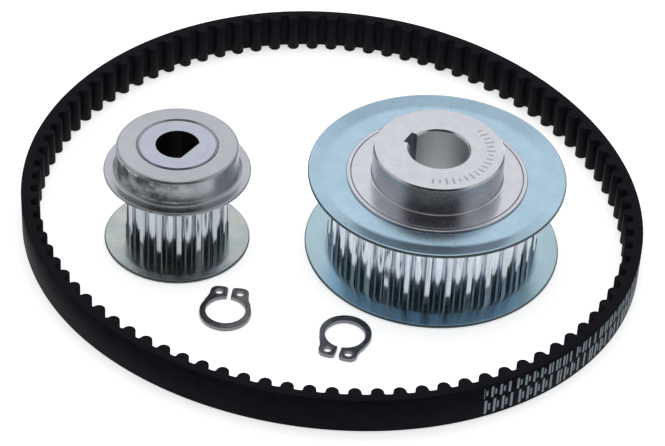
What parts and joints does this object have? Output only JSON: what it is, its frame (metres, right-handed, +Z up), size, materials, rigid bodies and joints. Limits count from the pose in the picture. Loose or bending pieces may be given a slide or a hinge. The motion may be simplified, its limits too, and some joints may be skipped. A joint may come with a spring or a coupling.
{
  "type": "garage door opener belt drive set",
  "caption": "Belt-drive set of a door opener: closed toothed belt, small pulley with a D-shaped bore, large flanged pulley with a keyed bore, and their shaft circlips.",
  "frame": {"origin": "bottom centre of the bounding box: the middle of the belt's loop, on the surface that the set lies on", "axes": "+Z up and along the axes of both pulleys, +X from the small drive pulley towards the large driven pulley, +Y towards the back of the loop"},
  "size_m": [0.1476, 0.1458, 0.0289],
  "materials": {
    "belt_rubber": "black moulded rubber, ground back",
    "glass_cord": "twisted glass-fibre cord, rubber-dipped",
    "belt_facing": "black nylon cloth bonded to the teeth",
    "turned_aluminium": "turned and hobbed, satin",
    "zinc_plate": "bright pale-blue zinc plating on pressed steel",
    "turned_steel": "fine turned steel",
    "spring_steel": "dark phosphated spring steel"
  },
  "bodies": {
    "belt": {"belt_backing": "belt_rubber", "belt_cords": "glass_cord", "belt_tooth_rubber": "belt_rubber", "belt_tooth_facing": "belt_facing"},
    "driven_pulley": {"driven_pulley_core": "turned_aluminium", "driven_upper_flange": "zinc_plate", "driven_lower_flange": "zinc_plate"},
    "drive_pulley": {"drive_pulley_core": "turned_aluminium", "drive_pulley_collar": "turned_steel", "drive_lower_flange": "zinc_plate"},
    "driven_clip": {"driven_circlip": "spring_steel"},
    "drive_clip": {"drive_circlip": "spring_steel"}
  },
  "joints": [
    {"name": "driven_pulley_spin", "type": "hinge", "parent": "belt", "child": "driven_pulley", "pos_m": [0.0243, -0.0077, 0], "axis": [0, 0, 1], "continuous": true},
    {"name": "drive_pulley_spin", "type": "hinge", "parent": "belt", "child": "drive_pulley", "pos_m": [-0.0361, -0.01, 0], "axis": [0, 0, 1], "continuous": true},
    {"name": "driven_clip_slide", "type": "slide", "parent": "belt", "child": "driven_clip", "axis": [0, 0, 1], "range_m": [0, 0.012]},
    {"name": "drive_clip_slide", "type": "slide", "parent": "belt", "child": "drive_clip", "axis": [0, 0, 1], "range_m": [0, 0.012]}
  ],
  "couplings": [
    {"joint": "drive_pulley_spin", "follows": "driven_pulley_spin", "ratio": 2}
  ]
}
